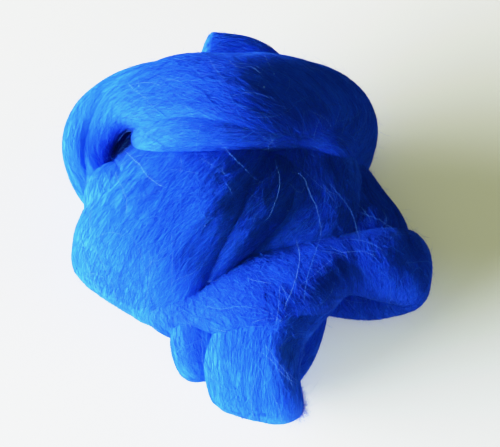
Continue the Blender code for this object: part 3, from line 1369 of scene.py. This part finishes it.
@dataclass(frozen=True)
class WoolFinish:
    """Dyed wool: a saturated blue whose fibre ends catch the light."""

    name: str
    # The darkest step is reached mostly where painted shade pulls the tone below 0, as in the
    # pocket under the wrap.
    dark: Colour = (0.0012, 0.007, 0.12, 1.0)
    deep: Colour = (0.0030, 0.028, 0.54, 1.0)
    middle: Colour = (0.0062, 0.056, 0.80, 1.0)
    pale: Colour = (0.0125, 0.108, 0.96, 1.0)
    roughness: float = 0.8
    specular: float = 0.03
    sheen: float = 0.25
    sheen_roughness: float = 0.45
    sheen_tint: Colour = (0.06, 0.45, 1.0, 1.0)
    streak_depth: float = 0.3
    streak_reach: float = 0.4 * MM
    has_streaks: bool = True

    def build(
        self, tones: bpy.types.NodeTree, streaks: bpy.types.NodeTree
    ) -> bpy.types.Material:
        """Makes the material.

        Args:
            tones: the group that turns a tone into a colour.
            streaks: the group that draws fine fibres along the lay.

        Returns:
            The material.
        """
        material = bpy.data.materials.new(self.name)
        material.use_nodes = True
        nodes, links = material.node_tree.nodes, material.node_tree.links
        shader = nodes["Principled BSDF"]
        set_sockets(
            shader,
            {
                "Roughness": self.roughness,
                "Specular IOR Level": self.specular,
                "Sheen Weight": self.sheen,
                "Sheen Roughness": self.sheen_roughness,
                "Sheen Tint": self.sheen_tint,
            },
        )
        tone = nodes.new("ShaderNodeGroup")
        tone.node_tree = tones
        colours = (self.dark, self.deep, self.middle, self.pale)
        set_sockets(tone, dict(zip(TONE_STEPS, colours)))
        links.new(tone.outputs["Colour"], shader.inputs["Base Color"])
        if self.has_streaks:
            streak = nodes.new("ShaderNodeGroup")
            streak.node_tree = streaks
            bump = nodes.new("ShaderNodeBump")
            set_sockets(bump, {"Strength": self.streak_depth, "Distance": self.streak_reach})
            links.new(streak.outputs["Height"], tone.inputs["Shift"])
            links.new(streak.outputs["Height"], bump.inputs["Height"])
            links.new(bump.outputs["Normal"], shader.inputs["Normal"])
        return material


@dataclass(frozen=True)
class ShadeGroups:
    """The shader groups that the wool's materials share.

    A drift or a shift is a factor and an offset; a span is the tones between
    which one colour gives way to the next.
    """

    patch_scale: float = 30.0
    patch_detail: float = 2.0
    patch_drift: Tuple[float, float] = (0.5, -0.25)
    streak_shift: Tuple[float, float] = (0.9, -0.27)
    usual_shift: float = 0.3
    deep_span: Tuple[float, float] = (-1.0, -0.1)
    middle_span: Tuple[float, float] = (0.0, 0.5)
    pale_span: Tuple[float, float] = (0.5, 1.0)
    line_width: float = 0.11
    line_detail: float = 1.5

    def tones(self) -> bpy.types.NodeTree:
        """Makes the group that blends dark, deep, middle and pale by the tone.

        Returns:
            The node group, with the four colours and Shift in and Colour out.
        """
        group = bpy.data.node_groups.new("wool_tones", "ShaderNodeTree")
        for label in TONE_STEPS:
            group.interface.new_socket(label, in_out="INPUT", socket_type="NodeSocketColor")
        shift = group.interface.new_socket(
            "Shift", in_out="INPUT", socket_type="NodeSocketFloat"
        )
        shift.default_value = self.usual_shift
        group.interface.new_socket("Colour", in_out="OUTPUT", socket_type="NodeSocketColor")
        nodes, links = group.nodes, group.links
        given, out = nodes.new("NodeGroupInput"), nodes.new("NodeGroupOutput")
        tone = nodes.new("ShaderNodeAttribute")
        tone.attribute_name = "tone"
        place = nodes.new("ShaderNodeTexCoord")
        patches = nodes.new("ShaderNodeTexNoise")
        set_sockets(patches, {"Scale": self.patch_scale, "Detail": self.patch_detail})
        links.new(place.outputs["Object"], patches.inputs["Vector"])
        total = tone.outputs["Fac"]
        for source, change in (
            (patches.outputs["Fac"], self.patch_drift),
            (given.outputs["Shift"], self.streak_shift),
        ):
            summed = nodes.new("ShaderNodeMath")
            links.new(total, summed.inputs[0])
            links.new(self._scaled(group, source, *change), summed.inputs[1])
            total = summed.outputs[0]
        colour = given.outputs[TONE_STEPS[0]]
        spans = (self.deep_span, self.middle_span, self.pale_span)
        for label, span in zip(TONE_STEPS[1:], spans):
            colour = self._blend(group, total, span, colour, given.outputs[label])
        links.new(colour, out.inputs["Colour"])
        return group

    def streaks(self) -> bpy.types.NodeTree:
        """Makes the group that draws fine fibres crossing at several angles.

        A layer is noise drawn out along its angle; its fibres are the thin lines
        where the noise is near its middle, 1 - |noise - 0.5| / width.

        Returns:
            The node group, with Height out.
        """
        group = bpy.data.node_groups.new("fine_fibres", "ShaderNodeTree")
        group.interface.new_socket("Height", in_out="OUTPUT", socket_type="NodeSocketFloat")
        nodes, links = group.nodes, group.links
        out = nodes.new("NodeGroupOutput")
        lay = nodes.new("ShaderNodeUVMap")
        lay.uv_map = "lay"
        total = None
        for angle, along, across, weight in FINE_LAYERS:
            scale = nodes.new("ShaderNodeMapping")
            scale.vector_type = "TEXTURE"
            turned, drawn_out = (0.0, 0.0, math.radians(angle)), (along * MM, across * MM, 1.0)
            set_sockets(scale, {"Rotation": turned, "Scale": drawn_out})
            links.new(lay.outputs["UV"], scale.inputs["Vector"])
            noise = nodes.new("ShaderNodeTexNoise")
            noise.noise_dimensions = "2D"
            set_sockets(noise, {"Scale": 1.0, "Detail": self.line_detail})
            links.new(scale.outputs["Vector"], noise.inputs["Vector"])
            middle = self._scaled(group, noise.outputs["Fac"], 1.0, -0.5)
            size = nodes.new("ShaderNodeMath")
            size.operation = "ABSOLUTE"
            links.new(middle, size.inputs[0])
            line = self._scaled(group, size.outputs[0], -1.0 / self.line_width, 1.0)
            line.node.use_clamp = True
            share = self._scaled(group, line, weight, 0.0)
            if total is not None:
                links.new(total, share.node.inputs[2])
            total = share
        links.new(total, out.inputs["Height"])
        return group

    @staticmethod
    def _scaled(
        group: bpy.types.NodeTree, source: bpy.types.NodeSocket, factor: float, offset: float
    ) -> bpy.types.NodeSocket:
        """Adds a node that multiplies a value and adds to it.

        Args:
            group: the group it goes into.
            source: the value.
            factor: what it is multiplied by.
            offset: what is added.

        Returns:
            The result's socket.
        """
        node = group.nodes.new("ShaderNodeMath")
        node.operation = "MULTIPLY_ADD"
        node.inputs[1].default_value = factor
        node.inputs[2].default_value = offset
        group.links.new(source, node.inputs[0])
        return node.outputs[0]

    @staticmethod
    def _blend(
        group: bpy.types.NodeTree,
        source: bpy.types.NodeSocket,
        span: Tuple[float, float],
        first: bpy.types.NodeSocket,
        second: bpy.types.NodeSocket,
    ) -> bpy.types.NodeSocket:
        """Adds a mix that goes from one colour to another over a span of a value.

        Args:
            group: the group it goes into.
            source: the value that drives the mix.
            span: the values where it starts and ends.
            first: the colour before the span.
            second: the colour after it.

        Returns:
            The mixed colour's socket.
        """
        ramp = group.nodes.new("ShaderNodeMapRange")
        set_sockets(ramp, {"From Min": span[0], "From Max": span[1]})
        mix = group.nodes.new("ShaderNodeMix")
        mix.data_type = "RGBA"
        group.links.new(source, ramp.inputs["Value"])
        group.links.new(ramp.outputs["Result"], mix.inputs["Factor"])
        group.links.new(first, mix.inputs["A"])
        group.links.new(second, mix.inputs["B"])
        return mix.outputs["Result"]


@dataclass
class Bundle:
    """The whole bundle: its folds' skins and their coats of fibres."""

    coat_seed: int = 31
    fibre_sheen: float = 0.2

    def build_folds(self) -> Dict[str, Fold]:
        """Makes every fold's shape.

        Returns:
            The folds by name.
        """
        # The front loop gets painted light; the arm, ridge, inner fold and shoulder get painted
        # shade.
        folds = (
            Fold("front_loop", FRONT_LOOP, 11, lean=4.0, painted_shading=0.2),
            Fold("left_sheet", LEFT_SHEET, 12, lean=10.0),
            Fold("arm", ARM, 13, Lay.AROUND, lean=12.0, painted_shading=-0.15),
            Fold(
                "wrap", WRAP, 14, lean=40.0, lean_from=0.56, lean_to=0.9, lean_blend=70.0 * MM
            ),
            Fold("tail", TAIL, 15, is_torn=True),
            Fold("left_lump", LEFT_LUMP, 16),
            Fold("slant_band", SLANT_BAND, 21),
            Fold("outer_ply", OUTER_PLY, 17),
            Fold("middle_ply", MIDDLE_PLY, 22),
            Fold("front_swell", FRONT_SWELL, 23),
            Fold("ridge", RIDGE, 18, painted_shading=-0.1),
            Fold("inner_fold", INNER_FOLD, 24, painted_shading=-0.25),
            Fold("shoulder", SHOULDER, 19, painted_shading=-0.25),
            Fold("side_lobe", SIDE_LOBE, 20),
        )
        return {fold.name: fold for fold in folds}

    def coats(self, folds: Dict[str, Fold]) -> Sequence[FibreCoat]:
        """Groups the folds under coats, each small enough for one piece.

        Args:
            folds: the folds by name.

        Returns:
            The coats.
        """
        groups = (
            ("wrap_fibres", ("wrap", "outer_ply", "middle_ply", "front_swell", "tail"), 10400),
            ("sheet_fibres", ("left_sheet", "left_lump", "slant_band"), 7700),
            ("arm_fibres", ("arm", "shoulder", "inner_fold", "ridge"), 9000),
            ("loop_fibres", ("front_loop", "side_lobe"), 5700),
        )
        return [
            FibreCoat(name, [folds[fold] for fold in members], count, self.coat_seed + i)
            for i, (name, members, count) in enumerate(groups)
        ]

    def build(self) -> None:
        """Builds the skins and coats, dresses them and puts them on the frame."""
        groups = ShadeGroups()
        tones, streaks = groups.tones(), groups.streaks()
        combed = WoolFinish("combed_wool").build(tones, streaks)
        strand = WoolFinish("wool_fibre", has_streaks=False, sheen=self.fibre_sheen)
        fibre = strand.build(tones, streaks)
        folds = self.build_folds()
        for fold in folds.values():
            self._place(fold.skin(), combed)
            LOG.info("skin %s: %d triangles", fold.name, 2 * len(fold.at) * fold.sides)
        every = list(folds.values())
        for coat in self.coats(folds):
            self._place(coat.build(every), fibre)
            LOG.info("coat %s: about %d fibres", coat.name, coat.count)
        self._place(Fuzz().build(every), fibre)
        loose = LooseFibres(PictureView(), self._skin_tree(every))
        pale = WoolFinish(
            "loose_fibre",
            deep=(0.010, 0.06, 0.60, 1.0),
            middle=(0.03, 0.14, 0.78, 1.0),
            pale=(0.08, 0.24, 0.90, 1.0),
            has_streaks=False,
        ).build(tones, streaks)
        self._place(loose.build(every), pale)
        self._place(loose.flecks(), pale)

    @staticmethod
    def _skin_tree(folds: Sequence[Fold]) -> BVHTree:
        """Gathers all skins' grids for finding where rays meet them.

        Args:
            folds: all folds.

        Returns:
            The search tree.
        """
        points, quads, start = [], [], 0
        for fold in folds:
            between, _ = closed_tube(len(fold.at), fold.sides)
            quads.append(between + start)
            points.append(fold.points.reshape(-1, 3))
            start += len(points[-1])
        corners, faces = np.concatenate(points), np.concatenate(quads)
        return BVHTree.FromPolygons(corners.tolist(), faces.tolist())

    @staticmethod
    def _place(piece: bpy.types.Object, material: bpy.types.Material) -> None:
        """Dresses a piece and ties it to the body, in place of the plain solid.

        Args:
            piece: the piece.
            material: what it wears.
        """
        piece.data.materials.append(material)
        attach(piece, BODY)
        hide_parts(NODE)


@dataclass
class Studio:
    """A pale floor that glows faintly, a soft key from the left and a surround.

    The surround is yellowish and stronger in front of the bundle than behind
    it.  What the camera sees past the floor is a plain backdrop without light.
    """

    floor_colour: Colour = (0.78, 0.80, 0.785, 1.0)
    floor_half: float = 3.0
    floor_roughness: float = 0.9
    floor_specular: float = 0.1
    floor_glow: Colour = (0.12, 0.13, 0.05, 1.0)
    front_glow: Colour = (0.42, 0.50, 0.53, 1.0)
    glow_from_to: Tuple[float, float] = (-0.01, -0.10)
    surround_colour: Colour = (0.98, 1.0, 0.66, 1.0)
    surround_front: float = 0.66
    surround_back: float = 0.0
    backdrop_colour: Colour = (0.92, 0.94, 0.93, 1.0)
    key_power: float = 745.0
    key_width: float = 3.0
    key_height: float = 0.62
    key_azimuth: float = 278.0
    key_elevation: float = 9.0
    key_distance: float = 2.2
    key_colour: Tuple[float, float, float] = (0.95, 0.97, 1.0)

    def build(self) -> None:
        """Makes the floor, the surround and the light."""
        self._floor()
        self._surround()
        self._key()

    def _floor(self) -> None:
        """Lays a wide plain sheet of paper under the bundle.

        Its glow changes by the smooth step from behind the bundle to its front.
        """
        half = self.floor_half
        points = np.array([[-half, -half, 0], [half, -half, 0], [half, half, 0], [-half, half, 0]])
        mesh = mesh_of("floor", points, np.array([[0, 1, 2, 3]]), np.empty((0, 3), dtype=int))
        material = bpy.data.materials.new("pale_paper")
        material.use_nodes = True
        tree = material.node_tree
        shader = tree.nodes["Principled BSDF"]
        set_sockets(
            shader,
            {
                "Base Color": self.floor_colour,
                "Roughness": self.floor_roughness,
                "Specular IOR Level": self.floor_specular,
                "Emission Strength": 1.0,
            },
        )
        place = tree.nodes.new("ShaderNodeTexCoord")
        axes = tree.nodes.new("ShaderNodeSeparateXYZ")
        fade = tree.nodes.new("ShaderNodeMapRange")
        fade.interpolation_type = "SMOOTHSTEP"
        start, stop = self.glow_from_to
        set_sockets(fade, {"From Min": start, "From Max": stop})
        blend = tree.nodes.new("ShaderNodeMix")
        blend.data_type = "RGBA"
        set_sockets(blend, {"A": self.floor_glow, "B": self.front_glow})
        tree.links.new(place.outputs["Object"], axes.inputs["Vector"])
        tree.links.new(axes.outputs["Y"], fade.inputs["Value"])
        tree.links.new(fade.outputs["Result"], blend.inputs["Factor"])
        tree.links.new(blend.outputs["Result"], shader.inputs["Emission Color"])
        mesh.materials.append(material)
        linked("floor", mesh)

    def _surround(self) -> None:
        """Gives light from all round, and a plain pale backdrop to look at.

        The light falls evenly from the front's strength to the back's.
        """
        world = bpy.data.worlds.new("surround")
        world.use_nodes = True
        tree = world.node_tree
        back = tree.nodes["Background"]
        back.inputs["Color"].default_value = self.surround_colour
        toward = tree.nodes.new("ShaderNodeTexCoord")
        axes = tree.nodes.new("ShaderNodeSeparateXYZ")
        fade = tree.nodes.new("ShaderNodeMapRange")
        ends = {"To Min": self.surround_front, "To Max": self.surround_back}
        set_sockets(fade, {"From Min": -1.0, "From Max": 1.0, **ends})
        tree.links.new(toward.outputs["Generated"], axes.inputs["Vector"])
        tree.links.new(axes.outputs["Y"], fade.inputs["Value"])
        tree.links.new(fade.outputs["Result"], back.inputs["Strength"])
        seen = tree.nodes.new("ShaderNodeBackground")
        seen.inputs["Color"].default_value = self.backdrop_colour
        path = tree.nodes.new("ShaderNodeLightPath")
        either = tree.nodes.new("ShaderNodeMixShader")
        tree.links.new(path.outputs["Is Camera Ray"], either.inputs["Fac"])
        tree.links.new(back.outputs["Background"], either.inputs[1])
        tree.links.new(seen.outputs["Background"], either.inputs[2])
        tree.links.new(either.outputs["Shader"], tree.nodes["World Output"].inputs["Surface"])
        bpy.context.scene.world = world

    def _key(self) -> None:
        """Hangs a large soft light to the left, facing the bundle."""
        data = bpy.data.lights.new("key", "AREA")
        data.shape, data.size, data.size_y = "RECTANGLE", self.key_width, self.key_height
        data.energy, data.color = self.key_power, self.key_colour
        azimuth, elevation = math.radians(self.key_azimuth), math.radians(self.key_elevation)
        toward = Vector(
            (
                math.sin(azimuth) * math.cos(elevation),
                -math.cos(azimuth) * math.cos(elevation),
                math.sin(elevation),
            )
        )
        light = linked("key", data)
        light.location = toward * self.key_distance
        light.rotation_euler = toward.to_track_quat("Z", "Y").to_euler()


@dataclass(frozen=True)
class Film:
    """How the picture answers to light: straight in the shadows, level near white."""

    ceiling: float = 0.945
    knee: float = 2.5
    reach: float = 9.0
    points: int = 24

    def apply(self, scene: bpy.types.Scene) -> None:
        """Sets the picture's response curve.

        The answer to light x is x over the root of order knee of
        1 + (x / ceiling) ** knee.

        Args:
            scene: the scene whose picture is meant.
        """
        light = self.reach * np.linspace(0.0, 1.0, self.points) ** 2.0
        answer = light / (1.0 + (light / self.ceiling) ** self.knee) ** (1.0 / self.knee)
        scene.view_settings.use_curve_mapping = True
        mapping = scene.view_settings.curve_mapping
        mapping.white_level = (self.reach, self.reach, self.reach)
        curve = mapping.curves[3]
        curve.points[-1].location = (1.0, float(answer[-1]))
        for x, y in zip(light[1:-1] / self.reach, answer[1:-1]):
            curve.points.new(float(x), float(y))
        for point in curve.points:
            point.handle_type = "VECTOR"
        mapping.update()


def main() -> None:
    """Builds the camera, the studio and the bundle."""
    logging.basicConfig(level=logging.INFO, format="%(name)s: %(message)s")
    scene = bpy.context.scene
    scene.view_settings.view_transform = "Standard"
    scene.view_settings.look = "None"
    Film().apply(scene)
    PictureView().build()
    Studio().build()
    Bundle().build()


if __name__ == "__main__":
    main()
